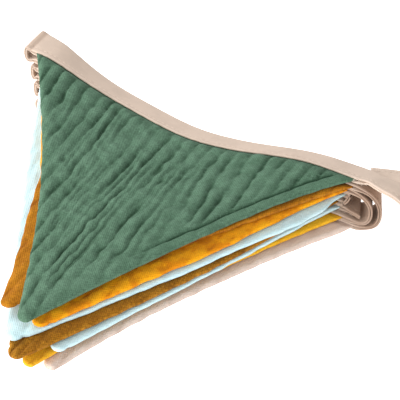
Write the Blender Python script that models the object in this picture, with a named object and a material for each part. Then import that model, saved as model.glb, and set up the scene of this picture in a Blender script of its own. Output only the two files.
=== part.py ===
"""Fabric bunting: eight muslin flags sewn into one doubled cotton tape, folded to and fro in a stack.

The stack lies flat. X runs along the tape, -Y points to the flags' tips and Z is up. The shapes are
worked out in millimetres from the sizes below and placed in metres.
"""

import math
from collections import namedtuple

import bmesh
import bpy
from mathutils import Vector

MM = 0.001

HALF = 77.5  # half the width of a flag where it leaves the tape
TIP_ROUND = 3.6
INSERT = 8.0  # how far the flag's top edge reaches into the doubled tape
INSERT_THICK = 0.8
EDGE_SHARE = 0.72  # thickness of the turned edge, as a share of the flag's
THIN_SHARE = 0.8  # flag thickness as a share of the room that its layer has
THIN_LEAST = 2.2
THIN_MOST = 2.9

TAPE_DEPTH = 14.0  # in plan, from the open edge to the fold
SLOT_SHARE = 0.64  # of that depth
SLOT_OPEN = 0.75  # half the height of the slot around a flag
SLOT_SHUT = 0.15
TAPE_FRONT = 1.35  # half thickness at the open edge, over a flag
TAPE_BACK = 0.75  # and at the fold
LOOP_FRONT = 0.9
LOOP_BACK = 0.6
TAPE_OVER = 1.5  # the slot stays open this far past the flag's corner

LAYERS = 8
PILE = 25.3
LEFT_RISE = 12.7  # the loops at the left hold the corner up
LEFT_SPREAD = 30.0
MIDDLE_SAG = 1.6
BACK_SLOPE = 0.56  # the doubled tape is thinner than the muslin, so the stack falls off behind
BACK_SLOPE_LEFT = -0.06
BACK_SLOPE_RIGHT = 0.47
BACK_ROUND = 16.0
RIGHT_DROOP = 0.27  # past the right corner the loops sink to this lower share
RIGHT_DROOP_LENGTH = 17.0

COLUMNS = 22
GREEN_COLUMNS = 84
GREEN_FIELD_ROWS = 8
INSERT_ROWS = 2
FIELD_SHARES = (0.0, 0.03, 0.16, 0.36, 0.6, 0.82, 0.94, 0.985, 1.0)  # rows of the other flags
TIP_LINE = -4.0  # where the sagging tape's middle lies
TUCK_LAYER = 2  # this flag's left side is drawn in under the top flag
TUCK = 5.0

Flag = namedtuple("Flag", "name slide half sag rise tip_x reach bow_left bow_right wave colour")
FLAGS = (
    Flag("flag_1_green", -0.6, 76.9, 5.5, 4.0, -1.2, 123.0, 5.0, 5.5, 0.0, (0.085, 0.165, 0.105)),
    Flag("flag_2_ochre", -0.5, 76.6, 4.0, 2.4, -13.0, 119.0, 7.0, 3.0, 1.3, (0.55, 0.24, 0.035)),
    Flag("flag_3_orange", -1.4, 75.2, 3.0, 2.8, 1.5, 119.0, 3.0, 0.9, 2.1, (0.72, 0.31, 0.015)),
    Flag("flag_4_aqua", -1.8, 74.8, 2.5, 3.0, -5.5, 127.5, 0.0, -2.2, 3.7, (0.60, 0.77, 0.80)),
    Flag("flag_5_brown", -2.6, 73.6, 3.5, 0.6, -1.0, 132.5, 0.0, -1.5, 4.4, (0.38, 0.14, 0.02)),
    Flag("flag_6_aqua", -2.2, 74.0, 3.0, 1.0, 9.5, 119.5, 3.0, 1.5, 5.9, (0.60, 0.77, 0.80)),
    Flag("flag_7_yellow", -1.2, 75.2, 3.5, -1.2, 2.5, 129.0, 3.0, 5.0, 7.2, (0.62, 0.30, 0.03)),
    Flag("flag_8_beige", 1.4, 77.8, 4.0, -0.8, 8.5, 123.5, 4.0, 6.5, 8.8, (0.66, 0.50, 0.42)),
)
TAPE_COLOUR = (0.73, 0.62, 0.52)

Ridge = namedtuple("Ridge", "pitch height bend reach phase")
GREEN_RIDGES = (
    Ridge(13.4, 0.34, 2.6, 71.0, 0.6),
    Ridge(9.1, 0.26, 2.0, 47.0, 2.2),
    Ridge(7.2, 0.24, 1.5, 88.0, 4.1),
    Ridge(21.0, 0.22, 3.0, 60.0, 1.0),
)

LEFT_OUT = {(1, 2): 5.0, (3, 4): 3.2, (5, 6): 2.8, (7, 8): 2.6}
RIGHT_OUT = {(2, 8): 9.7, (3, 7): 10.6, (4, 5): 1.2}
BULGE = {(1, 2): 1.9, (3, 4): 1.9, (5, 6): 1.9, (7, 8): 1.0, (2, 8): 0.2, (3, 7): 0.35, (4, 5): 0.1}
BACK_BY = {(2, 8): 3.6}  # how far back the outer loop stands at its far end
SWING = 5.2  # a free strip's fold leans this much towards the stack

# The order in which the tape runs from flag to flag: right to left on green, then back, and so on.
TAPE_ORDER = (1, 2, 8, 7, 3, 4, 5, 6)
STATIONS = 28
LOOP_STEPS = 10
TAIL_OUT = 8.5
TAIL_STEPS = 3
TAIL_DIP = 0.1  # in layers

# The hanging loop at the right end, from its tucked cut end out, round on edge and back to green.
Route = namedtuple("Route", "x y z roll")
HANGING = (
    Route(80.0, 14.9, 17.0, 8),
    Route(87.5, 17.9, 16.9, 11),
    Route(96.0, 20.8, 17.3, 26),
    Route(104.0, 22.0, 17.6, 48),
    Route(111.5, 20.6, 17.4, 76),
    Route(115.5, 14.4, 17.4, 90),
    Route(112.5, 8.8, 17.8, 72),
    Route(105.5, 7.0, 19.4, 22),
    Route(98.0, 7.3, 21.2, -15),
    Route(90.5, 8.4, 21.7, -19),
    Route(84.0, 10.0, 21.4, -23),
)
HANGING_STEPS = 2

CENTRE_X = 15.85  # middle of the whole, so that the origin lies under it
CENTRE_Y = -54.36


def smooth(value):
    """0 to 1 with soft ends."""
    value = min(max(value, 0.0), 1.0)
    return value * value * (3 - 2 * value)


def bell(value, centre, spread):
    return math.exp(-(((value - centre) / spread) ** 2))


def mix(low, high, share):
    return low + (high - low) * share


def heading_line(x, sag, rise):
    """Where the tape's open edge runs in plan: it sags towards the tips and swings back at the right."""
    return rise * smooth((x - 22) / 42) - sag * bell(x, 4, 29)


def pile_height(x, y):
    """Height of the whole stack at a point in plan. Each layer has an even share of it."""
    left = bell(x, -HALF - 2.5, LEFT_SPREAD)
    height = PILE + LEFT_RISE * left * smooth(1 + y / 95)
    height -= MIDDLE_SAG * bell(x, -4, 38) * bell(y, 0, 34)
    height += 0.9 * bell(x, 50, 17) * bell(y, 0, 28)
    back = (y - heading_line(x, 4.5, 2.5) + 6) / BACK_ROUND
    fall = BACK_ROUND * (back * back / 2 if back < 1 else back - 0.5) if back > 0 else 0.0
    slope = mix(BACK_SLOPE, BACK_SLOPE_RIGHT, smooth((x - 30) / 45))
    height -= mix(slope, BACK_SLOPE_LEFT, bell(x, -HALF - 5, 20)) * fall
    return height * (1 - RIGHT_DROOP * smooth((x - 76) / RIGHT_DROOP_LENGTH))


def layer_middle(layer, x, y):
    return (LAYERS - layer + 0.5) / LAYERS * pile_height(x, y)


def heading(flag, layer, across):
    """The tape over a flag, at -1 to 1 across it: plan x, y of its open edge, and the middle's height
    there and at the fold. Between two of the tape's cross-sections it runs straight."""
    step = (across + 1) / 2 * STATIONS
    first = min(int(step), STATIONS - 1)
    ends = []
    for index in (first, first + 1):
        x = flag.slide + flag.half * (2 * index / STATIONS - 1)
        y = heading_line(x, flag.sag, flag.rise)
        ends.append((y, layer_middle(layer, x, y), layer_middle(layer, x, y + TAPE_DEPTH)))
    y, front, back = (mix(a, b, step - first) for a, b in zip(*ends))
    return flag.slide + flag.half * across, y, front, back


def side_bow(flag, across):
    return mix(flag.bow_left, flag.bow_right, smooth(across + 0.5))


def flag_depth(flag, across):
    """How far the flag reaches from the tape's open edge, at -1 to 1 across it."""
    tip = TIP_ROUND / flag.half
    near = math.hypot(across, tip) - (math.hypot(1, tip) - 1)
    bow = 4 * side_bow(flag, across) / flag.half
    share = 1 - near
    if abs(bow) > 1e-6:
        share = (1 + bow - math.sqrt((1 + bow) ** 2 - 4 * bow * (1 - near))) / (2 * bow)
    return max(share, 0.0) / (1 - tip) * flag.reach


def half_width(flag, across, share):
    """Half the flag's width, as a share of that at the tape, at a share of the way to its round tip."""
    sharp = share / (1 + TIP_ROUND / flag.reach)
    bow = 4 * side_bow(flag, across) / flag.half
    tuck = TUCK / flag.half * bell(share, 0.3, 0.2) if flag is FLAGS[TUCK_LAYER - 1] and across < 0 else 0.0
    tuck *= smooth(share / 0.1) * smooth(-across)
    return (1 - sharp) * (1 - bow * sharp) * (1 - 0.55 * smooth((share - 0.985) / 0.015)) - tuck


def row_distance(depth, row, rows):
    """Distances down a column: even rows, then three for the seam and the turned edge."""
    scale = min(depth / 22, 1.0)
    if row > rows:
        return depth - (10.0, 5.5, 2.4, 0.0)[row - rows - 1] * scale
    return (depth - 15 * scale) * (row / rows) ** 0.9 if row else 0.0


def ridge_height(across, down):
    """Crinkles of the muslin, which run down the flag."""
    total = 0.0
    for ridge in GREEN_RIDGES:
        drift = ridge.bend * math.sin(2 * math.pi * down / ridge.reach + ridge.phase)
        total += ridge.height * math.cos(2 * math.pi * (across + drift) / ridge.pitch + ridge.phase)
    return total


def field_point(flag, layer, column, columns, row, rows):
    """Where a grid point lies below the tape: across -1 to 1, x, distance down and distance to the rim."""
    across = 2 * column / columns - 1
    if layer == 1:
        depth = flag_depth(flag, across)
        down = row_distance(depth, row, rows)
        x = flag.slide + flag.half * across
        rim = (depth - down) * math.cos(math.atan2(flag.reach, flag.half))
    else:
        share = FIELD_SHARES[row]
        down = flag.reach * share
        side = half_width(flag, across, share)
        x = flag.slide + flag.half * across * side
        rim = min((1 - abs(across)) * side * flag.half, flag.reach - down)
    return across, x + (flag.tip_x - flag.slide) * down / flag.reach, down, rim


def flag_point(flag, layer, column, columns, row, rows, upper):
    """A point of a flag's upper or lower side."""
    across = 2 * column / columns - 1
    x, edge, front, back = heading(flag, layer, across)
    if row < INSERT_ROWS:
        inside = INSERT * (1 - row / INSERT_ROWS)
        middle = mix(front, back, inside / TAPE_DEPTH)
        half = INSERT_THICK / 2
        return Vector((x, edge + inside, middle + (half if upper else -half)))
    across, x, down, rim = field_point(flag, layer, column, columns, row - INSERT_ROWS, rows)
    y = edge - down if layer == 1 else mix(edge, TIP_LINE, smooth(down / 60)) - down
    room = pile_height(x, y) / LAYERS
    full = min(max(room * THIN_SHARE, THIN_LEAST), THIN_MOST)
    thick = mix(INSERT_THICK, full * mix(EDGE_SHARE, 1.0, smooth(rim / 2.2)), smooth(down / 3.2))
    wave = 0.13 * math.sin(x / 17 + flag.wave) * math.sin(y / 23 + 2 * flag.wave)
    middle = layer_middle(layer, x, y) + wave * smooth(down / 12)
    middle = mix(front, middle, smooth(down / 3.2))
    if layer == LAYERS:
        middle = mix(middle, thick / 2, smooth(down / 6))
    if upper and layer == 1:
        strip = smooth((rim - 3.2) / 2.4)
        ridge = ridge_height(across * flag.half, down) * mix(0.12, 1.0, strip)
        middle += (0.55 * strip + ridge) * smooth(down / 5)
    return Vector((x, y, middle + (thick / 2 if upper else -thick / 2)))


def as_object(name, bm, colour, roughness):
    mesh = bpy.data.meshes.new(name)
    bm.to_mesh(mesh)
    bm.free()
    mesh.shade_smooth()
    mesh.set_sharp_from_angle(angle=math.radians(50))
    material = bpy.data.materials.new(name)
    material.use_nodes = True
    shader = material.node_tree.nodes["Principled BSDF"]
    shader.inputs["Base Color"].default_value = (*colour, 1)
    shader.inputs["Roughness"].default_value = roughness
    shader.inputs["Metallic"].default_value = 0
    mesh.materials.append(material)
    made = bpy.data.objects.new(name, mesh)
    bpy.context.collection.objects.link(made)
    return made


def numbered_grid(columns, rows):
    """A grid whose vertices know their column and row, counted from the top left."""
    bm = bmesh.new()
    bmesh.ops.create_grid(bm, x_segments=columns, y_segments=rows, size=1)
    place = (bm.verts.layers.int.new("column"), bm.verts.layers.int.new("row"))
    for vert in bm.verts:
        vert[place[0]] = round((vert.co.x + 1) / 2 * columns)
        vert[place[1]] = round((1 - vert.co.y) / 2 * rows)
    return bm, place


def placed(point):
    return (point - Vector((CENTRE_X, CENTRE_Y, 0))) * MM


def make_flag(flag, layer):
    """One flag: a closed sheet, thinned at its turned edges and where the tape holds it."""
    columns = GREEN_COLUMNS if layer == 1 else COLUMNS
    even = GREEN_FIELD_ROWS
    rows = INSERT_ROWS + (even + 4 if layer == 1 else len(FIELD_SHARES) - 1)
    bm, place = numbered_grid(columns, rows)
    lower = set(bm.verts)
    bmesh.ops.extrude_face_region(bm, geom=bm.faces[:])
    for vert in bm.verts:
        upper = vert not in lower
        vert.co = placed(
            flag_point(flag, layer, vert[place[0]], columns, vert[place[1]], even, upper)
        )
    bmesh.ops.remove_doubles(bm, verts=bm.verts[:], dist=0.02 * MM)
    bmesh.ops.recalc_face_normals(bm, faces=bm.faces[:])
    return as_object(flag.name, bm, flag.colour, 0.9)


def spline(rows, steps):
    """Points on a smooth curve through the rows, with this many steps between two rows."""
    points = []
    for index in range(len(rows) - 1):
        a, b, c, d = (rows[min(max(index + k, 0), len(rows) - 1)] for k in (-1, 0, 1, 2))
        for step in range(steps):
            t = step / steps
            points.append(tuple(
                0.5 * (2 * q + (r - p) * t + (2 * p - 5 * q + 4 * r - s) * t**2
                       + (3 * q - p - 3 * r + s) * t**3)
                for p, q, r, s in zip(a, b, c, d)
            ))
    points.append(tuple(rows[-1]))
    return points


Station = namedtuple("Station", "front back front_half back_half slot")


def hanging_stations():
    """The loop at the right end: it leaves flat, goes round on its edge and comes back flat."""
    points = spline(HANGING, HANGING_STEPS)
    found = []
    for index, (x, y, z, roll) in enumerate(points):
        before = points[max(index - 1, 0)]
        after = points[min(index + 1, len(points) - 1)]
        along = Vector((after[0] - before[0], after[1] - before[1], 0)).normalized()
        side = Vector((along.y, -along.x, 0))
        turn = math.radians(roll)
        width = side * math.cos(turn) + Vector((0, 0, 1)) * math.sin(turn)
        middle = Vector((x, y, z))
        reach = width * TAPE_DEPTH / 2
        found.append(Station(middle - reach, middle + reach, LOOP_FRONT, LOOP_BACK, SLOT_SHUT))
    return found


def loop_stations(upper, lower, right, down):
    """A loop past the flags' corners. It leaves at one layer and comes back at another."""
    out = (RIGHT_OUT if right else LEFT_OUT)[upper, lower]
    bulge = BULGE[upper, lower]
    middle = LAYERS + 0.5 - (upper + lower) / 2
    reach = (lower - upper) / 2
    found = []
    for step in range(1, LOOP_STEPS):
        turn = math.pi * step / LOOP_STEPS
        share = middle + reach * math.cos(turn) * (1 + bulge * math.sin(turn) ** 2)
        past = TAPE_OVER + out * math.sin(turn) ** (0.65 if right else 0.9)
        side = 1 if right else -1
        ends = [FLAGS[k - 1].slide + side * FLAGS[k - 1].half for k in (upper, lower)]
        x = mix(*ends, step / LOOP_STEPS) + side * past
        lines = [heading_line(HALF if right else -HALF, FLAGS[k - 1].sag, FLAGS[k - 1].rise)
                 for k in (upper, lower)]
        y = mix(lines[0], lines[1], smooth(step / LOOP_STEPS))
        y += BACK_BY.get((upper, lower), 0.0) * math.sin(turn) ** 0.6
        found.append(free_station(x, y, share, past if right else 0.0))
    return found if down else found[::-1]


def free_station(x, y, share, past):
    """A cross-section of tape with no flag in it, at this share of the stack's height in layers."""
    swing = SWING * smooth(past / 8)
    front = Vector((x, y, share / LAYERS * pile_height(x, y)))
    x, y = x - swing, y + TAPE_DEPTH - swing / 4
    back = Vector((x, y, share / LAYERS * pile_height(x, y)))
    return Station(front, back, LOOP_FRONT, LOOP_BACK, SLOT_SHUT)


def heading_stations(layer, leftwards):
    flag = FLAGS[layer - 1]
    found = []
    for index in range(STATIONS + 1):
        x, y, front, back = heading(flag, layer, 2 * index / STATIONS - 1)
        if index in (0, STATIONS):
            x += TAPE_OVER if index else -TAPE_OVER
        found.append(Station(Vector((x, y, front)), Vector((x, y + TAPE_DEPTH, back)),
                             TAPE_FRONT, TAPE_BACK, SLOT_OPEN))
    return found[::-1] if leftwards else found


def tail_stations(layer):
    """The tape's far end, which lies free inside the right loops."""
    x, y, _, _ = heading(FLAGS[layer - 1], layer, 1)
    found = []
    for step in range(1, TAIL_STEPS + 1):
        past = TAPE_OVER + TAIL_OUT * step / TAIL_STEPS
        share = LAYERS + 0.5 - layer - TAIL_DIP * step / TAIL_STEPS
        found.append(free_station(x + past, y - 0.3 * step, share, past))
    return found


def tape_stations():
    """The whole tape from its tucked end to its free end, as one row of cross-sections."""
    stations = hanging_stations()
    leftwards = True
    for index, layer in enumerate(TAPE_ORDER):
        stations += heading_stations(layer, leftwards)
        if index + 1 < len(TAPE_ORDER):
            after = TAPE_ORDER[index + 1]
            pair = (min(layer, after), max(layer, after))
            stations += loop_stations(*pair, not leftwards, layer < after)
        leftwards = not leftwards
    return stations + tail_stations(TAPE_ORDER[-1])


def section_point(station, normal, corner):
    """One of the eight corners of the doubled tape: its outside, then the slot inside it."""
    inner = mix(station.front, station.back, SLOT_SHARE)
    return (
        station.front + normal * station.front_half,
        station.back + normal * station.back_half,
        station.back - normal * station.back_half,
        station.front - normal * station.front_half,
        station.front - normal * station.slot,
        inner - normal * station.slot,
        inner + normal * station.slot,
        station.front + normal * station.slot,
    )[corner]


def make_tape():
    stations = tape_stations()
    middles = [(station.front + station.back) / 2 for station in stations]
    normals = []
    for index, station in enumerate(stations):
        along = middles[min(index + 1, len(middles) - 1)] - middles[max(index - 1, 0)]
        normal = along.cross(station.back - station.front).normalized()
        normals.append(normal)
    bm, place = numbered_grid(len(stations) - 1, 8)
    for vert in bm.verts:
        index = vert[place[0]]
        vert.co = placed(section_point(stations[index], normals[index], vert[place[1]] % 8))
    bmesh.ops.remove_doubles(bm, verts=bm.verts[:], dist=0.001 * MM)
    ends = [edge for edge in bm.edges if edge.is_boundary]
    bmesh.ops.holes_fill(bm, edges=ends, sides=0)
    bmesh.ops.triangulate(bm, faces=[face for face in bm.faces if len(face.verts) > 4])
    bmesh.ops.recalc_face_normals(bm, faces=bm.faces[:])
    return as_object("tape", bm, TAPE_COLOUR, 0.85)


def main():
    for old in list(bpy.data.objects):
        bpy.data.objects.remove(old, do_unlink=True)
    for layer, flag in enumerate(FLAGS, start=1):
        make_flag(flag, layer)
    make_tape()


main()
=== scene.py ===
"""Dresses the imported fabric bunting: crinkled muslin flags, their doubled tape, its stitches and threads.

Shapes are worked out in millimetres in the stack's own frame, as the solids are: X runs along the tape,
-Y points to the flags' tips and Z is up. They are placed in metres.
"""

import math
from collections import namedtuple

import bmesh
import bpy
from bpy.props import FloatProperty, FloatVectorProperty, PointerProperty
from mathutils import Matrix, Vector, noise


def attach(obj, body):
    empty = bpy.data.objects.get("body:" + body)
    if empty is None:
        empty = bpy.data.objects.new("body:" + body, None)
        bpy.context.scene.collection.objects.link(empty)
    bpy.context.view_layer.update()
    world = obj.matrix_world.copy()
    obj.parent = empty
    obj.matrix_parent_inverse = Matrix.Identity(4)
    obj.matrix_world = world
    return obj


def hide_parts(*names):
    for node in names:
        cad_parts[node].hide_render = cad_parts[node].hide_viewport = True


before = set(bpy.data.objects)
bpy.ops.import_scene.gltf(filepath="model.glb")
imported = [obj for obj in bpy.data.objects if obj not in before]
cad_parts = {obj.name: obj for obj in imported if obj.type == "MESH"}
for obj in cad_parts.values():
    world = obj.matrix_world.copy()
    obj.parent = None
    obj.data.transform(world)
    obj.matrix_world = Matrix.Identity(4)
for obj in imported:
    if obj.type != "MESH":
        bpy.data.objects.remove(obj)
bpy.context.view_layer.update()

bl_info = {
    "name": "Fabric bunting",
    "version": (1, 0, 0),
    "blender": (4, 5, 0),
    "location": "3D View > Sidebar > Bunting",
    "description": "Muslin flags on a doubled cotton tape, folded into a stack",
    "category": "Object",
}

MM = 0.001
UV_MM = 100.0  # millimetres of cloth to one unit of its UV map
# The middle of the whole stack's box, in the stack's own frame.
CENTRE_X = 15.85
CENTRE_Y = -54.36

# The stack's route, as in the solids but for two soft edges that stand out further: the hanging loop's
# far strand, up to 2 mm back, and the fourth flag's right side, up to 4 mm out.
HALF = 77.5
TAPE_DEPTH = 14.0
TAPE_OVER = 1.5
LAYERS = 8
BEND_FROM = 22.0  # the tape bends back from here on
BEND_LENGTH = 42.0
SAG_AT = 4.0
SAG_SPREAD = 29.0
PILE = 25.3
LEFT_RISE = 12.7
LEFT_RISE_PAST = 2.5  # its middle lies this far past the flags' left corners
LEFT_SPREAD = 30.0
LEFT_LENGTH = 95.0
BACK_SAG = 4.5  # the line from which the stack falls away at its back
BACK_RISE = 2.5
BACK_FROM = 6.0
BACK_ROUND = 16.0
BACK_SLOPE = 0.56
BACK_SLOPE_LEFT = -0.06
BACK_LEFT_PAST = 5.0
BACK_LEFT_SPREAD = 20.0
BACK_SLOPE_RIGHT = 0.47
BACK_RIGHT_FROM = 30.0
BACK_RIGHT_LENGTH = 45.0
RIGHT_DROOP = 0.27
RIGHT_DROOP_FROM = 76.0
RIGHT_DROOP_LENGTH = 17.0
# Where the whole stack swells or sags at its tape: by how much, where, and how widely along X and Y.
Swell = namedtuple("Swell", "by x spread_x spread_y")
SWELLS = (Swell(-1.6, -4.0, 38.0, 34.0), Swell(0.9, 50.0, 17.0, 28.0))
TIP_LINE = -4.0
THIN_SHARE = 0.8
THIN_LEAST = 2.2
THIN_MOST = 2.9

Flag = namedtuple("Flag", "name slide half sag rise tip_x reach bow_left bow_right wave colour")
FLAGS = (
    Flag("flag_1_green", -0.6, 76.9, 5.5, 4.0, -1.2, 123.0, 5.0, 5.5, 0.0, "green"),
    Flag("flag_2_ochre", -0.5, 76.6, 4.0, 2.4, -13.0, 119.0, 7.0, 3.0, 1.3, "ochre"),
    Flag("flag_3_orange", -1.4, 75.2, 3.0, 2.8, 1.5, 119.0, 3.0, 0.9, 2.1, "orange"),
    Flag("flag_4_aqua", -1.8, 74.8, 2.5, 3.0, -5.5, 127.5, 0.0, -2.2, 3.7, "aqua"),
    Flag("flag_5_brown", -2.6, 73.6, 3.5, 0.6, -1.0, 132.5, 0.0, -1.5, 4.4, "brown"),
    Flag("flag_6_aqua", -2.2, 74.0, 3.0, 1.0, 9.5, 119.5, 3.0, 1.5, 5.9, "aqua"),
    Flag("flag_7_yellow", -1.2, 75.2, 3.5, -1.2, 2.5, 129.0, 3.0, 5.0, 7.2, "yellow"),
    Flag("flag_8_beige", 1.4, 77.8, 4.0, -0.8, 8.5, 123.5, 4.0, 6.5, 8.8, "beige"),
)
# Where one side of a flag stands out (or is drawn in) beyond its even bow: -1 left or 1 right, by how
# much, at which share of the way to the tip, and how widely.
Drawn = namedtuple("Drawn", "side by share spread")
DRAWN = {"flag_2_ochre": Drawn(-1, -5.0, 0.3, 0.2), "flag_4_aqua": Drawn(1, 3.5, 0.15, 0.14)}
DRAWN_FROM = 0.1
SHEET_AREA_SHARE = 0.54  # a flag's area, as a share of its width times its length

# The loops past the corners, by the two layers that each joins: how far out they reach, and how much
# they bulge past those layers' heights.
LEFT_OUT = {(1, 2): 5.0, (3, 4): 3.2, (5, 6): 2.8, (7, 8): 2.6}
RIGHT_OUT = {(2, 8): 9.7, (3, 7): 10.6, (4, 5): 1.2}
BULGE = {(1, 2): 1.9, (3, 4): 1.9, (5, 6): 1.9, (7, 8): 1.0, (2, 8): 0.2, (3, 7): 0.35, (4, 5): 0.1}
BACK_BY = {(2, 8): 3.6}  # how far back the outer loop stands at its far end
RIGHT_FULL = 0.65  # the lower, the fuller a loop is near its ends
LEFT_FULL = 0.9
BACK_FULL = 0.6
SWING = 5.2  # a free strip's fold leans this much towards the stack
SWING_OVER = 8.0
FORWARD_SHARE = 0.25  # of the swing, towards the tips
TAPE_ORDER = (1, 2, 8, 7, 3, 4, 5, 6)
STATIONS = 28
LOOP_STEPS = 10
TAIL_OUT = 8.5
TAIL_STEPS = 3
TAIL_DIP = 0.1  # in layers
TAIL_FORWARD = 0.3
STATION_PARTS = 3  # finer cross-sections between two of the route's stations
# The tape's half thickness at its open edge and at its fold, that of the slot inside it, and how brown
# it looks: painted shade, darkest in the right loops, less in the left loops and by the right corners.
Kind = namedtuple("Kind", "front_half back_half slot brown")
OVER_FLAG = Kind(1.35, 0.75, 0.55, 0.0)
RIGHT_CORNER = Kind(1.35, 0.75, 0.55, 0.7)
HANGING_FREE = Kind(0.9, 0.6, 0.12, 0.0)
LEFT_LOOP = Kind(0.9, 0.6, 0.12, 0.45)
RIGHT_LOOP = Kind(0.9, 0.6, 0.12, 1.0)

# The hanging loop's middle line, and how far the tape is turned up on its edge, in degrees.
Route = namedtuple("Route", "x y z roll")
HANGING = (
    Route(80.0, 14.9, 17.0, 8),
    Route(87.5, 18.7, 16.9, 14),
    Route(96.0, 22.2, 17.2, 26),
    Route(104.0, 23.2, 17.6, 48),
    Route(111.5, 20.6, 17.4, 76),
    Route(115.5, 14.4, 17.4, 90),
    Route(112.5, 8.8, 17.8, 72),
    Route(105.5, 7.0, 19.4, 22),
    Route(98.0, 7.3, 21.2, -15),
    Route(90.5, 8.4, 21.7, -19),
    Route(84.0, 10.0, 21.4, -23),
)
HANGING_STEPS = 2

# How the flags' sheets are divided.
TIP_RADIUS = 3.6
TIP_REACH = 1.1  # the sides would meet this many tip radii past the tip
TIP_LEAST = 0.01  # least square of half a row's width
TIP_CENTRE = 1.0  # before the tip, for distances outside it
BOW_EASE = 0.02
RIM_COLUMNS = (0.0, 0.12, 0.35, 0.75, 1.3, 2.0, 2.9, 3.9, 4.7, 5.2, 5.6, 6.0, 6.5, 7.3, 8.4)
RIM_SHARE = 0.9  # of half a row, at most, for the rim's columns
SLANT = 0.86  # distance from a slanted side, as a share of that along a row
SEAM_IN = 4.8
SEAM_END = 80.0  # how far down the turned edge's groove shows
SEAM_FADE = 22.0
SEAM_FROM = 6.0
SEAM_WIDTH = 0.42
SEAM_DEPTH = 0.95
SEAM_SIDE = 1.2
SEAM_WAVER = 0.7
SEAM_WAVER_SIZE = 9.0
SEAM_SEED = 5.0
WAVY_RIM = 0.5
WAVY_FROM = 12.0
WAVY_PAST = 4.0
WAVY_FADE = 14.0
WAVY_SIZE = 4.6
WAVY_SEED = 5
HELD_ROWS = (-7.0, -3.5, -1.2, -0.3)  # inside the tape
NECK_ROWS = (0.0, 0.35, 0.8, 1.4, 2.2, 3.2)
HELD_THICK = 0.6
TIP_ROWS = 9
Grid = namedtuple("Grid", "columns row_step")
TOP_GRID = Grid(176, 0.86)
LOWER_GRID = Grid(64, 1.35)

# How a flag's sheet lies and thins: distances down from the tape, or in from its rim.
STRAIGHT_AFTER = 60.0
RIM_ROUND = 1.2
RIM_THICK = 0.3
EDGE_THICK = 0.86
EDGE_OVER = 7.0
THICKEN_OVER = 2.6
SETTLE_OVER = 3.2
FLAT_UNDER = 6.0
ROLL = 0.13
ROLL_X = 17.0
ROLL_Y = 23.0
ROLL_FROM = 12.0

# The relief of the muslin, above the middle of a crinkle, and the value that its colour follows: painted
# shade in the crinkles' valleys and along the turned edge's groove, a painted highlight on their ridges.
RIM_EASE = 0.4
RIM_EASE_OVER = 2.6
TOP_EASE = 0.1
TOP_EASE_OVER = 2.4
RELIEF_MIDDLE = 0.6
TURNED_RELIEF = 0.3
PUFF = 0.5
PUFF_RIM = 3.0
PUFF_TOP = 5.0
TURNED_SHADE = 0.72
TURNED_EVEN = 0.7
SEAM_SHADE = 0.9
FREE_OVER = 2.2  # a lower flag's crinkles grow this far out from under the flag above
COVERED_RELIEF = 0.16
FREE_RELIEF = 1.2
FREE_MIDDLE = 0.62
CRINKLE_SEED = 3
CRINKLE_SEED_FROM = 2.5

# Uneven parts of the crinkles: by how much, drawn out by which shares across and down, seed and size.
Uneven = namedtuple("Uneven", "by across down seed size")
WANDERS = (Uneven(3.8, 1, 0.6, 0, 40), Uneven(1.7, 1, 0.55, 4, 13), Uneven(0.9, 1, 0.8, 8, 4.2))
FINER_PATCHES = Uneven(1.4, 1, 0.4, 12, 12)
DEPTHS = Uneven(0.75, 1, 0.6, 16, 9)
PUFFS = Uneven(0.34, 0.8, 1, 20, 3.4)
WIDE_SHARP = 0.6
FINER_SHARP = 0.7
FINER_PITCH = 0.58
FINER_WANDER = 1.2
FINER_MIDDLE = 0.4
FINER_MOST = 0.6
DEPTH_MIDDLE = 0.85

# The tape's cross-section: shares of its depth from the open edge to the fold.
STITCH_AT = 0.18
OUTER_SHARES = (0.0, 0.03, 0.1, 0.15, STITCH_AT, 0.21, 0.3, 0.45, 0.6, 0.75, 0.87, 0.94, 0.98, 1.0)
INNER_SHARES = (0.9, 0.75, 0.58, 0.4, 0.2, 0.0)
FOLD_FROM = 0.9
FOLD_OVER = 0.1
OPEN_THICK = 0.86
OPEN_OVER = 0.04
DENT = 0.14  # along the stitches
DENT_SPREAD = 0.035
RIPPLES = 0.1
RIPPLES_SIZE = 7.0
RIPPLES_SEED = 3.0
FOLD_PLAIN = 0.98
SLOT_END = 0.08
SLOT_FROM = 0.58
SLOT_OVER = 0.32

# A stitch: how deep its middle lies, half its length in pitches and its height as a share of its width.
STITCH_SUNK = 0.08
STITCH_SHARE = 0.43
STITCH_FLAT = 0.8


# Properties

def length_property(name, description, default):
    return FloatProperty(name=name, description=description, default=default, unit="LENGTH", precision=5)


def colour_property(name, description, default):
    return FloatVectorProperty(name=name, description=description, default=default, size=3,
                               subtype="COLOR", min=0, max=1)


class BuntingSizes(bpy.types.PropertyGroup):
    crinkle_height: length_property("Crinkle height", "From valley to ridge on the top flag", 0.0017)
    crinkle_pitch: length_property("Crinkle pitch", "Between the valleys of the muslin", 0.0062)
    thread_pitch: length_property("Thread pitch", "Between two threads of the muslin", 0.00105)
    stitch_pitch: length_property("Stitch length", "From one stitch of the tape to the next", 0.0025)
    sewing_thread: length_property("Sewing thread", "Width of a stitch", 0.0004)


class BuntingColours(bpy.types.PropertyGroup):
    green: colour_property("Green", "Top flag", (0.105, 0.20, 0.13))
    ochre: colour_property("Ochre", "Second flag", (0.50, 0.190, 0.010))
    orange: colour_property("Orange", "Third flag", (0.95, 0.39, 0.008))
    aqua: colour_property("Aqua", "Fourth and sixth flag", (0.58, 0.78, 0.82))
    brown: colour_property("Brown", "Fifth flag", (0.42, 0.175, 0.012))
    yellow: colour_property("Yellow", "Seventh flag", (0.88, 0.46, 0.022))
    beige: colour_property("Beige", "Bottom flag", (0.71, 0.57, 0.49))
    tape: colour_property("Tape", "Cotton tape", (0.66, 0.525, 0.43))
    thread: colour_property("Thread", "Sewing thread and frayed ends", (0.72, 0.59, 0.49))
    floor: colour_property("Floor", "Surface under the stack", (0.93, 0.93, 0.93))


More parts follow.
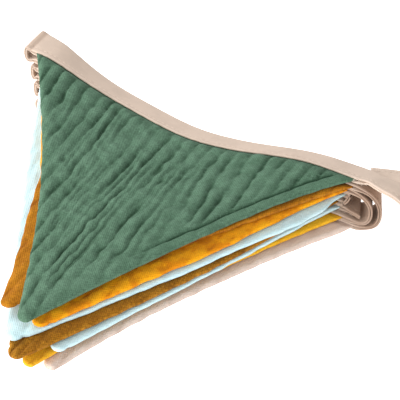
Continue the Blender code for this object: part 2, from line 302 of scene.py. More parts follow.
class BuntingLights(bpy.types.PropertyGroup):
    key: FloatProperty(name="Key light", description="Large soft light at the upper left", default=8.0,
                       unit="POWER", min=0)
    front: FloatProperty(name="Front light", description="Larger soft light before the tips", default=11.5,
                         unit="POWER", min=0)
    fill: FloatProperty(name="Fill", description="Strength of the even light around", default=0.58, min=0)


# Shapes

def smooth(value):
    """0 to 1 with soft ends."""
    value = min(max(value, 0.0), 1.0)
    return value * value * (3 - 2 * value)


def bell(value, centre, spread):
    return math.exp(-(((value - centre) / spread) ** 2))


def mix(low, high, share):
    return low + (high - low) * share


def ripple(x, y, z, size):
    """Smooth noise from -1 to 1 whose bumps are about this size."""
    return noise.noise(Vector((x / size, y / size, z)))


def heading_line(x, sag, rise):
    """Where the tape's open edge runs in plan."""
    return rise * smooth((x - BEND_FROM) / BEND_LENGTH) - sag * bell(x, SAG_AT, SAG_SPREAD)


def pile_height(x, y):
    """Height of the whole stack at a point in plan."""
    left = bell(x, -HALF - LEFT_RISE_PAST, LEFT_SPREAD)
    height = PILE + LEFT_RISE * left * smooth(1 + y / LEFT_LENGTH)
    for swell in SWELLS:
        height += swell.by * bell(x, swell.x, swell.spread_x) * bell(y, 0, swell.spread_y)
    back = (y - heading_line(x, BACK_SAG, BACK_RISE) + BACK_FROM) / BACK_ROUND
    fall = BACK_ROUND * (back * back / 2 if back < 1 else back - 0.5) if back > 0 else 0.0
    slope = mix(BACK_SLOPE, BACK_SLOPE_RIGHT, smooth((x - BACK_RIGHT_FROM) / BACK_RIGHT_LENGTH))
    height -= mix(slope, BACK_SLOPE_LEFT, bell(x, -HALF - BACK_LEFT_PAST, BACK_LEFT_SPREAD)) * fall
    return height * (1 - RIGHT_DROOP * smooth((x - RIGHT_DROOP_FROM) / RIGHT_DROOP_LENGTH))


def layer_middle(layer, x, y):
    return (LAYERS - layer + 0.5) / LAYERS * pile_height(x, y)


def heading(flag, layer, across):
    """The tape over a flag: plan x, y of its open edge, and the middle's height there and at the fold."""
    x = flag.slide + flag.half * across
    y = heading_line(x, flag.sag, flag.rise)
    return x, y, layer_middle(layer, x, y), layer_middle(layer, x, y + TAPE_DEPTH)


IN_METRES = Matrix.Scale(MM, 4) @ Matrix.Translation((-CENTRE_X, -CENTRE_Y, 0))


def placed(point):
    return IN_METRES @ point


def numbered_grid(columns, rows):
    """A grid whose vertices know their column and row, counted from the top left."""
    bm = bmesh.new()
    bmesh.ops.create_grid(bm, x_segments=columns, y_segments=rows, size=1)
    place = (bm.verts.layers.int.new("column"), bm.verts.layers.int.new("row"))
    for vert in bm.verts:
        vert[place[0]] = round((vert.co.x + 1) / 2 * columns)
        vert[place[1]] = round((1 - vert.co.y) / 2 * rows)
    return bm, place


def as_piece(name, bm, material, node=None):
    """The finished mesh as a piece of the model that rides with the frame."""
    mesh = bpy.data.meshes.new(name)
    bm.to_mesh(mesh)
    bm.free()
    mesh.shade_smooth()
    mesh.materials.append(material)
    piece = bpy.data.objects.new(name, mesh)
    bpy.context.scene.collection.objects.link(piece)
    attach(piece, "root")
    if node:
        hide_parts(node)
    return piece


# Muslin

def uneven(kind, across, down, seed):
    return kind.by * ripple(across * kind.across, down * kind.down, seed + kind.seed, kind.size)


def crinkle(across, down, seed, pitch):
    """Height of the muslin's crinkles, about 0 to 1: soft ridges down the flag, narrow valleys between."""
    wander = 0.0
    for kind in WANDERS:
        wander += uneven(kind, across, down, seed)
    wide = abs(math.cos(math.pi * (across + wander) / pitch)) ** WIDE_SHARP
    turn = math.pi * (across + FINER_WANDER * wander) / (FINER_PITCH * pitch) + seed
    finer = abs(math.sin(turn)) ** FINER_SHARP
    share = FINER_MIDDLE + uneven(FINER_PATCHES, across, down, seed)
    ridges = mix(wide, finer, FINER_MOST * smooth(share))
    depth = DEPTH_MIDDLE + uneven(DEPTHS, across, down, seed)
    return 1 - depth * (1 - ridges) + uneven(PUFFS, across, down, seed)


def drawn_out(flag, right, share):
    """How far one side of a flag stands out beyond its even bow."""
    drawn = DRAWN.get(flag.name)
    if drawn is None or right != (drawn.side > 0):
        return 0.0
    return drawn.by * bell(share, drawn.share, drawn.spread) * smooth(share / DRAWN_FROM)


def side_width(flag, right, down):
    """Half the flag's width at a distance down it, on one side. It ends in a round tip."""
    sharp = down / (flag.reach + TIP_REACH * TIP_RADIUS)
    bow = 4 * (flag.bow_right if right else flag.bow_left) / flag.half
    width = flag.half * (1 - sharp) * (1 - bow * sharp * (1 - sharp) / (1 - sharp + BOW_EASE))
    width += drawn_out(flag, right, down / flag.reach)
    past = down - flag.reach + TIP_RADIUS
    if past > 0:
        width = min(width, math.sqrt(max(TIP_RADIUS**2 - past**2, TIP_LEAST)))
    return width


def outside(flag, x, y):
    """How far a point in plan lies outside a flag's outline; less than 0 inside it."""
    down = TIP_LINE - y
    if down < 0:
        return -1.0
    aside = x - flag.slide - (flag.tip_x - flag.slide) * down / flag.reach
    if down > flag.reach - TIP_CENTRE:
        return math.hypot(down - flag.reach + TIP_CENTRE, aside)
    return SLANT * (abs(aside) - side_width(flag, aside > 0, down))


def column_places(left, right, inner):
    """Distances across a row from its middle line: close together at both rims, even between."""
    rim = RIM_COLUMNS[-1]
    share_left, share_right = min(left / rim * RIM_SHARE, 1), min(right / rim * RIM_SHARE, 1)
    start, end = -left + rim * share_left, right - rim * share_right
    found = [-left + step * share_left for step in RIM_COLUMNS]
    found += [mix(start, end, index / inner) for index in range(1, inner)]
    return found + [right - step * share_right for step in reversed(RIM_COLUMNS)]


def row_places(flag, step):
    """Distances down a flag at which its rows run."""
    last = flag.reach - TIP_RADIUS
    count = round((last - NECK_ROWS[-1]) / step)
    found = list(HELD_ROWS + NECK_ROWS)
    found += [mix(NECK_ROWS[-1], last, index / count) for index in range(1, count + 1)]
    for index in range(1, TIP_ROWS + 1):
        found.append(last + TIP_RADIUS * math.sin(math.pi / 2 * index / TIP_ROWS))
    return found


def flag_surface(flag, layer, aside, down, rim, sizes):
    """A point of a flag: plan x and y, height of its middle, half thickness, and the crinkle there."""
    across = max(min(aside / side_width(flag, aside > 0, max(down, 0)), 1), -1)
    x = flag.slide + aside + (flag.tip_x - flag.slide) * max(down, 0) / flag.reach
    start = flag.slide + flag.half * across
    if down < 0:
        edge, front, back = heading(flag, layer, across)[1:]
        return x, edge - down, mix(front, back, -down / TAPE_DEPTH), HELD_THICK / 2, 0.0
    y = mix(heading_line(start, flag.sag, flag.rise), TIP_LINE, smooth(down / STRAIGHT_AFTER)) - down
    if layer == 1:
        y = heading_line(x, flag.sag, flag.rise) - down
    room = pile_height(x, y) / LAYERS
    full = min(max(room * THIN_SHARE, THIN_LEAST), THIN_MOST)
    round_edge = math.sqrt(1 - (1 - min(rim / RIM_ROUND, 1)) ** 2)
    thick = full * mix(RIM_THICK, mix(EDGE_THICK, 1.0, smooth(rim / EDGE_OVER)), round_edge)
    thick = mix(HELD_THICK, thick, smooth(down / THICKEN_OVER))
    front = layer_middle(layer, start, heading_line(start, flag.sag, flag.rise))
    middle = mix(front, layer_middle(layer, x, y), smooth(down / SETTLE_OVER))
    roll = ROLL * math.sin(x / ROLL_X + flag.wave) * math.sin(y / ROLL_Y + 2 * flag.wave)
    middle += roll * smooth(down / ROLL_FROM)
    folds = crinkle(aside, down, flag.wave * CRINKLE_SEED + CRINKLE_SEED_FROM, sizes.crinkle_pitch / MM)
    return x, y, middle, thick / 2, folds


def flag_sides(flag, layer, aside, down, rim, right, sizes):
    """The upper and the lower point of a flag's sheet, and its crinkle for the material, which paints shade
    into the valleys and the turned edge's groove.
    """
    x, y, middle, half, folds = flag_surface(flag, layer, aside, down, rim, sizes)
    rise = sizes.crinkle_height / MM
    inward = smooth((rim + RIM_EASE) / RIM_EASE_OVER) * smooth((down + TOP_EASE) / TOP_EASE_OVER)
    seam_in = SEAM_IN + SEAM_WAVER * ripple(down, 0, SEAM_SEED, SEAM_WAVER_SIZE)
    if layer == 1:
        turned = right * smooth((SEAM_END - down) / SEAM_FADE)
        strip = smooth((rim - seam_in) / SEAM_SIDE)
        flatter = mix(1.0, mix(TURNED_RELIEF, 1.0, strip), turned)
        height = rise * (folds - RELIEF_MIDDLE) * flatter * inward
        height += PUFF * mix(smooth(rim / PUFF_RIM), strip, turned) * smooth(down / PUFF_TOP)
        seam = turned * bell(rim, seam_in, SEAM_WIDTH) * smooth(down / SEAM_FROM)
        height -= SEAM_DEPTH * seam
        # Painted shade: the crinkle value sets the colour, evened on the turned strip and darkened along the
        # seam's groove.
        shade = mix(folds, TURNED_SHADE, TURNED_EVEN * turned * (1 - strip)) - SEAM_SHADE * seam
    else:
        free = smooth(outside(FLAGS[layer - 2], x, y) / FREE_OVER)
        height = mix(COVERED_RELIEF, FREE_RELIEF, free) * (folds - FREE_MIDDLE) * inward
        shade = folds
    if layer == LAYERS:
        middle = mix(middle, half, smooth(down / FLAT_UNDER))
        return Vector((x, y, middle + half + height)), Vector((x, y, max(middle - half, 0.0))), shade
    return Vector((x, y, middle + half + height)), Vector((x, y, middle - half)), shade


def row_width(flag, right, down):
    """Half a row's width on one side, with the rim's waver."""
    wavy = WAVY_RIM * smooth(down / WAVY_FROM) * smooth((flag.reach + WAVY_PAST - down) / WAVY_FADE)
    seed = flag.wave * WAVY_SEED + (2 if right else 1)
    return side_width(flag, right, max(down, 0)) + wavy * ripple(down, 0, seed, WAVY_SIZE)


def flag_mesh(flag, layer, sizes):
    """One flag: a closed sheet with soft turned edges, made from a grid that knows its rows and columns."""
    grid = TOP_GRID if layer == 1 else LOWER_GRID
    coarser = 1
    inner = grid.columns // coarser
    rows = row_places(flag, grid.row_step * coarser)
    columns = inner + 2 * len(RIM_COLUMNS) - 2
    bm, place = numbered_grid(columns, len(rows) - 1)
    cloth = bm.loops.layers.uv.new("cloth")
    folds = bm.verts.layers.float.new("crinkle")
    table = []
    for down in rows:
        left, right = row_width(flag, False, down), row_width(flag, True, down)
        line = []
        for aside in column_places(left, right, inner):
            rim = min(SLANT * min(aside + left, right - aside), flag.reach - down)
            to_right = smooth((aside + left) / (left + right) * 3 - 1)
            line.append((aside, down, flag_sides(flag, layer, aside, down, rim, to_right, sizes)))
        table.append(line)
    lower = set(bm.verts)
    bmesh.ops.extrude_face_region(bm, geom=bm.faces[:])
    flat = {}
    for vert in bm.verts:
        aside, down, (above, below, shade) = table[vert[place[1]]][vert[place[0]]]
        vert.co = placed(below if vert in lower else above)
        # The crinkle attribute carries the painted shade of the valleys and the groove to the material.
        vert[folds] = shade
        flat[vert] = (aside / UV_MM, down / UV_MM)
    for face in bm.faces:
        for loop in face.loops:
            loop[cloth].uv = flat[loop.vert]
    bmesh.ops.recalc_face_normals(bm, faces=bm.faces[:])
    return bm


# Tape

def spline(rows, steps):
    """Points on a smooth curve through the rows, with this many steps between two rows."""
    points = []
    for index in range(len(rows) - 1):
        a, b, c, d = (rows[min(max(index + k, 0), len(rows) - 1)] for k in (-1, 0, 1, 2))
        for step in range(steps):
            t = step / steps
            points.append(tuple(
                0.5 * (2 * q + (r - p) * t + (2 * p - 5 * q + 4 * r - s) * t**2
                       + (3 * q - p - 3 * r + s) * t**3)
                for p, q, r, s in zip(a, b, c, d)
            ))
    points.append(tuple(rows[-1]))
    return points


def station(front, back, kind):
    """A cross-section of the tape as one row of numbers."""
    return (*front, *back, *kind)


def hanging_stations():
    """The loop at the right end: it leaves flat, goes round on its edge and comes back flat."""
    points = spline(HANGING, HANGING_STEPS)
    found = []
    for index, (x, y, z, roll) in enumerate(points):
        before = points[max(index - 1, 0)]
        after = points[min(index + 1, len(points) - 1)]
        along = Vector((after[0] - before[0], after[1] - before[1], 0)).normalized()
        side = Vector((along.y, -along.x, 0))
        turn = math.radians(roll)
        reach = (side * math.cos(turn) + Vector((0, 0, 1)) * math.sin(turn)) * TAPE_DEPTH / 2
        middle = Vector((x, y, z))
        found.append(station(middle - reach, middle + reach, HANGING_FREE))
    return found


def free_station(x, y, share, past, kind):
    """A cross-section with no flag in it, at this share of the stack's height in layers."""
    swing = SWING * smooth(past / SWING_OVER)
    front = (x, y, share / LAYERS * pile_height(x, y))
    x, y = x - swing, y + TAPE_DEPTH - swing * FORWARD_SHARE
    return station(front, (x, y, share / LAYERS * pile_height(x, y)), kind)


def loop_stations(upper, lower, right, down):
    """A loop past the flags' corners. It leaves at one layer and comes back at another."""
    out = (RIGHT_OUT if right else LEFT_OUT)[upper, lower]
    bulge = BULGE[upper, lower]
    middle = LAYERS + 0.5 - (upper + lower) / 2
    reach = (lower - upper) / 2
    side = 1 if right else -1
    pair = (FLAGS[upper - 1], FLAGS[lower - 1])
    found = []
    for step in range(1, LOOP_STEPS):
        turn = math.pi * step / LOOP_STEPS
        share = middle + reach * math.cos(turn) * (1 + bulge * math.sin(turn) ** 2)
        past = TAPE_OVER + out * math.sin(turn) ** (RIGHT_FULL if right else LEFT_FULL)
        x = mix(*(flag.slide + side * flag.half for flag in pair), step / LOOP_STEPS) + side * past
        y = mix(*(heading_line(side * HALF, flag.sag, flag.rise) for flag in pair),
                smooth(step / LOOP_STEPS))
        y += BACK_BY.get((upper, lower), 0.0) * math.sin(turn) ** BACK_FULL
        kind = RIGHT_LOOP if right else LEFT_LOOP
        found.append(free_station(x, y, share, past if right else 0.0, kind))
    return found if down else found[::-1]


def heading_stations(layer, leftwards):
    flag = FLAGS[layer - 1]
    found = []
    for index in range(STATIONS + 1):
        x, y, front, back = heading(flag, layer, 2 * index / STATIONS - 1)
        if index in (0, STATIONS):
            x += TAPE_OVER if index else -TAPE_OVER
        kind = RIGHT_CORNER if index == STATIONS and layer > 1 else OVER_FLAG
        found.append(station((x, y, front), (x, y + TAPE_DEPTH, back), kind))
    return found[::-1] if leftwards else found


def tail_stations(layer):
    """The tape's far end, which lies free inside the right loops."""
    x, y, _, _ = heading(FLAGS[layer - 1], layer, 1)
    found = []
    for step in range(1, TAIL_STEPS + 1):
        past = TAPE_OVER + TAIL_OUT * step / TAIL_STEPS
        share = LAYERS + 0.5 - layer - TAIL_DIP * step / TAIL_STEPS
        found.append(free_station(x + past, y - TAIL_FORWARD * step, share, past, RIGHT_LOOP))
    return found


Section = namedtuple("Section", "front back normal along front_half back_half slot brown distance")


def tape_sections():
    """The tape from its tucked end to its free end, as close cross-sections."""
    rows = hanging_stations()
    leftwards = True
    for index, layer in enumerate(TAPE_ORDER):
        rows += heading_stations(layer, leftwards)
        if index + 1 < len(TAPE_ORDER):
            after = TAPE_ORDER[index + 1]
            rows += loop_stations(min(layer, after), max(layer, after), not leftwards, layer < after)
        leftwards = not leftwards
    rows += tail_stations(TAPE_ORDER[-1])
    rows = spline(rows, STATION_PARTS)
    fronts = [Vector(row[0:3]) for row in rows]
    backs = [Vector(row[3:6]) for row in rows]
    found = []
    distance = 0.0
    for index, row in enumerate(rows):
        last, after = max(index - 1, 0), min(index + 1, len(rows) - 1)
        along = (fronts[after] + backs[after] - fronts[last] - backs[last]).normalized()
        normal = along.cross(backs[index] - fronts[index]).normalized()
        if index:
            distance += ((fronts[index] + backs[index] - fronts[index - 1] - backs[index - 1]) / 2).length
        found.append(Section(fronts[index], backs[index], normal, along, *row[6:10], distance))
    return found


def outer_half(section, share):
    """Half the tape's thickness at a share of its depth: rounded at the fold and softened at the edge."""
    half = mix(section.front_half, section.back_half, share)
    fold = max((share - FOLD_FROM) / FOLD_OVER, 0.0)
    half *= math.sqrt(max(1 - fold * fold, 0.0)) * mix(OPEN_THICK, 1.0, smooth(share / OPEN_OVER))
    return half


def section_ring(section):
    """The doubled tape's outline: over the top to the fold, back below, and round the slot inside."""
    ring = []
    for side in (1, -1):
        shares = OUTER_SHARES if side > 0 else OUTER_SHARES[-2::-1]
        for share in shares:
            point = section.front.lerp(section.back, share)
            dent = DENT * bell(share, STITCH_AT, DENT_SPREAD)
            waves = RIPPLES * ripple(section.distance, share * TAPE_DEPTH, RIPPLES_SEED * side, RIPPLES_SIZE)
            waves *= math.sin(math.pi * share)
            half = outer_half(section, share)
            if share < FOLD_PLAIN:
                half -= dent - waves
            ring.append((point + section.normal * side * half, share, side))
    for side in (-1, 1):
        for share in (INNER_SHARES[::-1] if side < 0 else INNER_SHARES):
            point = section.front.lerp(section.back, share)
            slot = mix(section.slot, SLOT_END, smooth((share - SLOT_FROM) / SLOT_OVER))
            ring.append((point + section.normal * side * slot, share, side))
    return ring


def tape_mesh(sections):
    rings = [section_ring(section) for section in sections]
    around = len(rings[0])
    bm, place = numbered_grid(len(sections) - 1, around)
    cloth = bm.loops.layers.uv.new("cloth")
    brown = bm.verts.layers.float.new("brown")
    flat = {}
    for vert in bm.verts:
        index, corner = vert[place[0]], vert[place[1]]
        # Painted shade of the loops and the corners next to them, for the material.
        vert[brown] = sections[index].brown
        point, share, side = rings[index][corner % around]
        vert.co = placed(point)
        wide = share * TAPE_DEPTH * side
        flat[index, corner] = (sections[index].distance / UV_MM, wide / UV_MM)
    for face in bm.faces:
        for loop in face.loops:
            loop[cloth].uv = flat[loop.vert[place[0]], loop.vert[place[1]]]
    bmesh.ops.remove_doubles(bm, verts=bm.verts[:], dist=0.001 * MM)
    ends = [edge for edge in bm.edges if edge.is_boundary]
    bmesh.ops.holes_fill(bm, edges=ends, sides=0)
    bmesh.ops.triangulate(bm, faces=[face for face in bm.faces if len(face.verts) > 4])
    bmesh.ops.recalc_face_normals(bm, faces=bm.faces[:])
    return bm


def bead_mesh():
    """One stitch before it is placed: a low ball of few faces that carries the tape's painted shade there,
    as its brown attribute.
    """
    bm = bmesh.new()
    bmesh.ops.create_uvsphere(bm, u_segments=6, v_segments=4, radius=1)
    bm.verts.layers.float.new("brown")
    bmesh.ops.recalc_face_normals(bm, faces=bm.faces[:])
    mesh = bpy.data.meshes.new("bead")
    bm.to_mesh(mesh)
    bm.free()
    return mesh


def stitch_mesh(sections, sizes):
    """Both rows of stitches: a small rounded bead of thread for each, let into the cloth."""
    bm = bmesh.new()
    bead = bead_mesh()
    pitch = sizes.stitch_pitch / MM
    width = sizes.sewing_thread / MM / 2
    due = pitch
    for last, after in zip(sections, sections[1:]):
        while due <= after.distance:
            share = (due - last.distance) / max(after.distance - last.distance, 1e-6)
            front = last.front.lerp(after.front, share)
            back = last.back.lerp(after.back, share)
            normal = last.normal.lerp(after.normal, share).normalized()
            along = last.along.lerp(after.along, share).normalized()
            half = mix(outer_half(last, STITCH_AT), outer_half(after, STITCH_AT), share)
            for side in (1, -1):
                centre = front.lerp(back, STITCH_AT) + normal * side * (half - STITCH_SUNK)
                turn = Matrix((along, normal.cross(along), normal)).transposed().to_4x4()
                size = Matrix.Diagonal((STITCH_SHARE * pitch, width, width * STITCH_FLAT, 1))
                made = bead.copy()
                # Each stitch takes the painted shade of the tape where it lies.
                made.attributes["brown"].data.foreach_set("value", [last.brown] * len(made.vertices))
                made.transform(IN_METRES @ Matrix.Translation(centre) @ turn @ size)
                bm.from_mesh(made)
                bpy.data.meshes.remove(made)
            due += pitch
    bpy.data.meshes.remove(bead)
    return bm


# Frayed ends: where each starts, which way it leaves and how long it is, in millimetres and degrees.
Hair = namedtuple("Hair", "x y turn length bend")
HAIRS = (
    Hair(77.2, 4.1, -150, 1.9, 40), Hair(77.9, 4.0, -122, 2.4, -35), Hair(78.3, 3.9, -104, 2.0, 28),
    Hair(78.8, 3.8, -88, 2.3, -22), Hair(79.3, 3.7, -70, 1.8, 50), Hair(79.9, 3.6, -55, 2.0, -48),
    Hair(80.5, 3.5, -30, 1.6, 36), Hair(78.1, 4.0, -165, 1.5, -60), Hair(79.6, 3.7, -96, 1.4, 70),
    Hair(80.2, 3.5, -118, 1.7, -30),
)
HAIR_WIDTH = 0.18
HAIR_STEPS = 7
HAIR_ABOVE = 1.25  # over the top layer's middle
HAIR_LIFT = 0.35
HAIR_FALL = 0.11


def hair_mesh():
    """Loose thread ends where the tape's cut end is tucked in: thin tubes spun out along a curve."""
    bm = bmesh.new()
    for hair in HAIRS:
        turn = math.radians(hair.turn)
        spot = Vector((hair.x, hair.y, layer_middle(1, hair.x, hair.y) + HAIR_ABOVE))
        ring = bmesh.ops.create_circle(bm, cap_ends=True, segments=6, radius=HAIR_WIDTH / 2,
                                       matrix=Matrix.Translation(spot) @ Matrix.Rotation(turn, 4, "Z")
                                       @ Matrix.Rotation(math.pi / 2, 4, "Y"))
        face = ring["verts"][0].link_faces[0]
        for step in range(1, HAIR_STEPS + 1):
            turn += math.radians(hair.bend) / HAIR_STEPS
            lift = HAIR_LIFT - HAIR_FALL * step
            forward = Vector((math.cos(turn), math.sin(turn), lift)) * hair.length / HAIR_STEPS
            made = bmesh.ops.extrude_discrete_faces(bm, faces=[face])
            face = made["faces"][0]
            bmesh.ops.translate(bm, verts=face.verts[:], vec=forward)
    for vert in bm.verts:
        vert.co = placed(vert.co)
    bmesh.ops.recalc_face_normals(bm, faces=bm.faces[:])
    return bm


# Materials

class Value:
    """A shader socket that Python's operators work on. Each adds a Math node."""

    def __init__(self, shader, link):
        self.shader = shader
        self.link = link

    def math(self, operation, *others):
        return self.shader.math(operation, self, *others)

    def __add__(self, other):
        return self.math("ADD", other)

    __radd__ = __add__

    def __sub__(self, other):
        return self.math("SUBTRACT", other)

    def __rsub__(self, other):
        return self.shader.math("SUBTRACT", other, self)

    def __mul__(self, other):
        return self.math("MULTIPLY", other)

    __rmul__ = __mul__


class Shader:
    """One material's nodes."""

    def __init__(self, name):
        self.material = bpy.data.materials.new(name)
        self.material.use_nodes = True
        self.tree = self.material.node_tree
        self.surface = self.tree.nodes["Principled BSDF"]

    def add(self, kind, settings=None, sockets=None, out=0):
        """A node of this type: its settings first, then the values or links of its sockets."""
        node = self.tree.nodes.new(kind)
        for name, value in (settings or {}).items():
            setattr(node, name, value)
        self.feed(node, sockets or {})
        return Value(self, node.outputs[out])

    def feed(self, node, sockets):
        for name, value in sockets.items():
            if isinstance(value, Value):
                self.tree.links.new(value.link, node.inputs[name])
            else:
                node.inputs[name].default_value = value

    def math(self, operation, *values):
        return self.add("ShaderNodeMath", {"operation": operation}, dict(enumerate(values)))

    def blend(self, share, low, high):
        """A colour between two, by a share."""
        low, high = (c if isinstance(c, Value) else (*c, 1) for c in (low, high))
        return self.add("ShaderNodeMix", {"data_type": "RGBA"}, {0: share, 6: low, 7: high}, out=2)

    def ramp(self, value, low, high):
        """0 below low to 1 above high, with soft ends."""
        return self.add("ShaderNodeMapRange", {"interpolation_type": "SMOOTHSTEP"},
                        {"Value": value, "From Min": low, "From Max": high})

    def noise(self, place, scale, detail=2.0, rough=0.5):
        return self.add("ShaderNodeTexNoise", {"noise_dimensions": "3D"},
                        {"Vector": place, "Scale": scale, "Detail": detail, "Roughness": rough})


def scaled(colour, share):
    return tuple(min(channel * share, 1.0) for channel in colour)


def woven(shader, place, pitch):
    """Height 0 to 1 of a plain weave of threads that run both ways, a little uneven."""
    split = shader.add("ShaderNodeSeparateXYZ", None, {0: place}).link.node
    turn = 2 * math.pi * UV_MM / (pitch / MM)
    uneven = shader.noise(place, 60.0, 1.0) * 2.2
    one = (Value(shader, split.outputs[0]) * turn + uneven).math("SINE")
    other = (Value(shader, split.outputs[1]) * turn + uneven).math("SINE")
    return one * other * 0.5 + 0.5


def muslin(name, colour, valley_shade_and_mottle, light, sizes, mottle, speckle):
    """Double muslin: a loose weave, with painted shade down in the crinkles and a painted highlight on their
    ridges, and paler where threads stand up.
    """
    shader = Shader(name)
    place = shader.add("ShaderNodeUVMap", {"uv_map": "cloth"})
    folds = shader.add("ShaderNodeAttribute", {"attribute_name": "crinkle"}, out="Fac")
    weave = woven(shader, place, sizes.thread_pitch)
    fuzz = shader.noise(place, 95.0, 3.0, 0.7)
    patches = shader.noise(place, 11.0, 3.0, 0.6)
    # Painted shade in the crinkles' valleys, then a painted highlight on their ridges.
    paint = shader.blend(shader.ramp(folds, 0.1, 0.7), valley_shade_and_mottle, colour)
    paint = shader.blend(shader.ramp(folds, 0.7, 1.2) * 0.5, paint, light)
    paint = shader.blend(shader.ramp(patches, 0.44, 0.6) * mottle, paint, valley_shade_and_mottle)
    speck = (1 - weave) * 0.5 + shader.ramp(fuzz, 0.45, 0.7) * 0.35
    paint = shader.blend(speck, paint, scaled(colour, speckle))
    paint = shader.blend(shader.ramp(fuzz, 0.45, 0.25) * 0.6, paint, light)
    height = weave * 0.5 + fuzz * 0.6
    bump = shader.add("ShaderNodeBump", None, {"Strength": 0.6, "Distance": 0.0004, "Height": height})
    shader.feed(shader.surface, {"Base Color": paint, "Normal": bump, "Roughness": 0.95,
                                 "Sheen Weight": 0.04, "Sheen Roughness": 0.6,
                                 "Specular IOR Level": 0.06})
    return shader.material


LOOP_SHADE_TINT = (0.52, 0.44, 0.39)  # painted shade: the share of the tape's colour in the loops past the corners


def cotton(name, colour, pitch):
    """The tape's close plain weave, a little uneven in colour, and painted browner and darker in the loops
    as painted shade.
    """
    shader = Shader(name)
    place = shader.add("ShaderNodeUVMap", {"uv_map": "cloth"})
    weave = woven(shader, place, pitch)
    patches = shader.noise(place, 9.0, 3.0, 0.6)
    fuzz = shader.noise(place, 220.0, 2.0, 0.6)
    # Painted shade: the brown attribute darkens the tape in the loops and by the right corners.
    brown = shader.add("ShaderNodeAttribute", {"attribute_name": "brown"}, out="Fac")
    loops = tuple(channel * tint for channel, tint in zip(colour, LOOP_SHADE_TINT))
    paint = shader.blend(brown, colour, loops)
    paint = shader.blend(shader.ramp(patches, 0.4, 0.7) * 0.3, paint, scaled(colour, 0.7))
    paint = shader.blend((1 - weave) * 0.16, paint, scaled(colour, 0.6))
    height = weave * 0.6 + fuzz * 0.5
    bump = shader.add("ShaderNodeBump", None, {"Strength": 0.35, "Distance": 0.0002, "Height": height})
    shader.feed(shader.surface, {"Base Color": paint, "Normal": bump, "Roughness": 0.9,
                                 "Sheen Weight": 0.04, "Specular IOR Level": 0.1})
    return shader.material


def thread(name, colour):
    """Twisted cotton thread."""
    shader = Shader(name)
    place = shader.add("ShaderNodeTexCoord", out="Object")
    strands = shader.noise(place, 4000.0, 2.0)
    # Painted shade: the brown attribute darkens the thread in the loops, as on the tape.
    brown = shader.add("ShaderNodeAttribute", {"attribute_name": "brown"}, out="Fac")
    loops = tuple(channel * tint for channel, tint in zip(colour, LOOP_SHADE_TINT))
    paint = shader.blend(strands, colour, scaled(colour, 0.85))
    paint = shader.blend(brown, paint, scaled(loops, 0.85))
    shader.feed(shader.surface, {"Base Color": paint, "Roughness": 0.7, "Specular IOR Level": 0.25})
    return shader.material


def plain(name, colour, glow):
    shader = Shader(name)
    shader.feed(shader.surface, {"Base Color": (*colour, 1), "Roughness": 0.9, "Specular IOR Level": 0.1,
                                 "Emission Color": (1, 1, 1, 1), "Emission Strength": glow})
    return shader.material


# The painted shade in the crinkles' valleys, also the colour of the darker mottled patches; the painted
# highlight on their ridges, also the colour of the pale fuzz; how mottled each cloth is, and how dark it is
# between its threads.
Finish = namedtuple("Finish", "deep light mottle speckle")
FINISHES = {
    "green": Finish((0.27, 0.37, 0.30), (1.50, 1.40, 1.46), 0.25, 0.40),
    "ochre": Finish((0.60, 0.45, 0.35), (1.3, 1.4, 1.6), 0.35, 0.32),
    "orange": Finish((0.62, 0.34, 0.4), (1.0, 1.25, 2.0), 0.7, 0.70),
    "aqua": Finish((0.86, 0.92, 0.95), (1.10, 1.05, 1.05), 0.2, 0.85),
    "brown": Finish((0.6, 0.5, 0.5), (1.5, 1.6, 2.2), 0.3, 0.16),
    "yellow": Finish((0.78, 0.6, 0.5), (1.1, 1.25, 1.8), 0.35, 0.70),
    "beige": Finish((0.80, 0.74, 0.70), (1.1, 1.14, 1.16), 0.25, 0.80),
}


def muslin_of(word, context):
    """The material of one colour's muslin, made once."""
    name = f"{word}_crinkled_muslin"
    if name in bpy.data.materials:
        return bpy.data.materials[name]
    colour = tuple(getattr(context.scene.bunting_colours, word))
    finish = FINISHES[word]
    valley_shade_and_mottle, light = (tuple(min(a * b, 1.0) for a, b in zip(colour, tint)) for tint in finish[:2])
    return muslin(name, colour, valley_shade_and_mottle, light, context.scene.bunting_sizes, finish.mottle,
                  finish.speckle)


# Operators

class BUNTING_OT_flags(bpy.types.Operator):
    """Makes the eight crinkled muslin flags over their solids"""
    bl_idname = "bunting.flags"
    bl_label = "Muslin flags"

    def execute(self, context):
        for layer, flag in enumerate(FLAGS, start=1):
            bm = flag_mesh(flag, layer, context.scene.bunting_sizes)
            material = muslin_of(flag.colour, context)
            piece = as_piece(flag.name.replace("flag", "muslin"), bm, material,
                             flag.name)
            width, length = 2 * flag.half * MM, (flag.reach - HELD_ROWS[0]) * MM
            SHEET_AREA_SHARE * width * length
        return {"FINISHED"}


class BUNTING_OT_tape(bpy.types.Operator):
    """Makes the doubled cotton tape that runs through the stack"""
    bl_idname = "bunting.tape"
    bl_label = "Cotton tape"

    def execute(self, context):
        sections = tape_sections()
        material = cotton("woven_tape", tuple(context.scene.bunting_colours.tape), 0.0006)
        piece = as_piece("cotton_tape_strip", tape_mesh(sections), material, "tape")
        sections[-1].distance * MM
        return {"FINISHED"}


class BUNTING_OT_stitches(bpy.types.Operator):
    """Sews the tape: a row of stitches along its open edge, and the frayed ends at its tucked end"""
    bl_idname = "bunting.stitches"
    bl_label = "Stitches and thread ends"

    def execute(self, context):
        material = thread("sewing_thread", tuple(context.scene.bunting_colours.thread))
        bm = stitch_mesh(tape_sections(), context.scene.bunting_sizes)
        as_piece("tape_stitches", bm, material)
        as_piece("thread_ends", hair_mesh(), material)
        return {"FINISHED"}


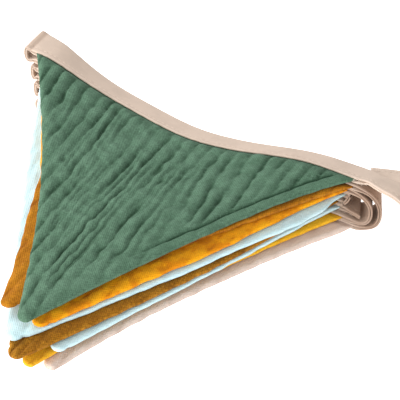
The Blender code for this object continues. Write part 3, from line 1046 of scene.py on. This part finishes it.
# The camera, from the photo's fit: millimetres in the stack's own frame, degrees.
CAMERA_TARGET = Vector((21.54, -29.84, 15.0))
CAMERA_AZIMUTH = 28.579
CAMERA_ELEVATION = 42.961
CAMERA_DISTANCE = 600.0
CAMERA_LENS = 129.3
CAMERA_SENSOR = 36.0
FLOOR_HALF = 3.0
FLOOR_GLOW = 0.7
# The studio's soft square lights: place and width, in metres.
Light = namedtuple("Light", "name place size")
LIGHTS = (Light("key", (-0.78, 0.12, 0.75), 0.6), Light("front", (-0.20, -0.95, 0.50), 0.9))


def add_camera(scene):
    azimuth, elevation = math.radians(CAMERA_AZIMUTH), math.radians(CAMERA_ELEVATION)
    back = Vector((math.sin(azimuth) * math.cos(elevation), -math.cos(azimuth) * math.cos(elevation),
                   math.sin(elevation)))
    data = bpy.data.cameras.new("camera")
    data.lens = CAMERA_LENS
    data.sensor_width = CAMERA_SENSOR
    data.clip_start, data.clip_end = 0.01, 20
    camera = bpy.data.objects.new("camera", data)
    camera.location = placed(CAMERA_TARGET + back * CAMERA_DISTANCE)
    camera.rotation_euler = back.to_track_quat("Z", "Y").to_euler()
    scene.collection.objects.link(camera)
    scene.camera = camera


def add_light(scene, name, place, size, power):
    """A square soft light that looks at the stack's middle."""
    data = bpy.data.lights.new(name, "AREA")
    data.shape = "SQUARE"
    data.size = size
    data.energy = power
    light = bpy.data.objects.new(name, data)
    light.location = place
    light.rotation_euler = Vector(place).to_track_quat("Z", "Y").to_euler()
    scene.collection.objects.link(light)


class BUNTING_OT_stage(bpy.types.Operator):
    """Adds the pale floor, the soft light and the camera"""
    bl_idname = "bunting.stage"
    bl_label = "Stage"

    def execute(self, context):
        scene = context.scene
        bm = bmesh.new()
        bmesh.ops.create_grid(bm, x_segments=1, y_segments=1, size=FLOOR_HALF)
        mesh = bpy.data.meshes.new("floor")
        bm.to_mesh(mesh)
        bm.free()
        mesh.materials.append(plain("floor", tuple(scene.bunting_colours.floor), FLOOR_GLOW))
        floor = bpy.data.objects.new("floor", mesh)
        scene.collection.objects.link(floor)
        lights = scene.bunting_lights
        for light in LIGHTS:
            add_light(scene, *light, getattr(lights, light.name))
        world = bpy.data.worlds.new("studio")
        world.use_nodes = True
        world.node_tree.nodes["Background"].inputs["Color"].default_value = (1, 1, 1, 1)
        world.node_tree.nodes["Background"].inputs["Strength"].default_value = lights.fill
        scene.world = world
        scene.view_settings.view_transform = "Standard"
        add_camera(scene)
        return {"FINISHED"}


class BUNTING_PT_panel(bpy.types.Panel):
    """The bunting's pieces, sizes and colours in the sidebar"""
    bl_label = "Fabric bunting"
    bl_idname = "BUNTING_PT_panel"
    bl_space_type = "VIEW_3D"
    bl_region_type = "UI"
    bl_category = "Bunting"

    def draw(self, context):
        for operator in OPERATORS:
            self.layout.operator(operator.bl_idname)
        for word in SETTINGS:
            group = getattr(context.scene, f"bunting_{word}")
            for name in group.__annotations__:
                self.layout.prop(group, name)


SETTINGS = {"sizes": BuntingSizes, "colours": BuntingColours, "lights": BuntingLights}
OPERATORS = (BUNTING_OT_flags, BUNTING_OT_tape, BUNTING_OT_stitches, BUNTING_OT_stage)


def register():
    for kind in (*SETTINGS.values(), *OPERATORS, BUNTING_PT_panel):
        bpy.utils.register_class(kind)
    for word, kind in SETTINGS.items():
        setattr(bpy.types.Scene, f"bunting_{word}", PointerProperty(type=kind))


def unregister():
    for word in SETTINGS:
        delattr(bpy.types.Scene, f"bunting_{word}")
    for kind in reversed((*SETTINGS.values(), *OPERATORS, BUNTING_PT_panel)):
        bpy.utils.unregister_class(kind)


def main():
    register()
    bpy.ops.bunting.flags()
    bpy.ops.bunting.tape()
    bpy.ops.bunting.stitches()
    bpy.ops.bunting.stage()


if __name__ == "__main__":
    main()
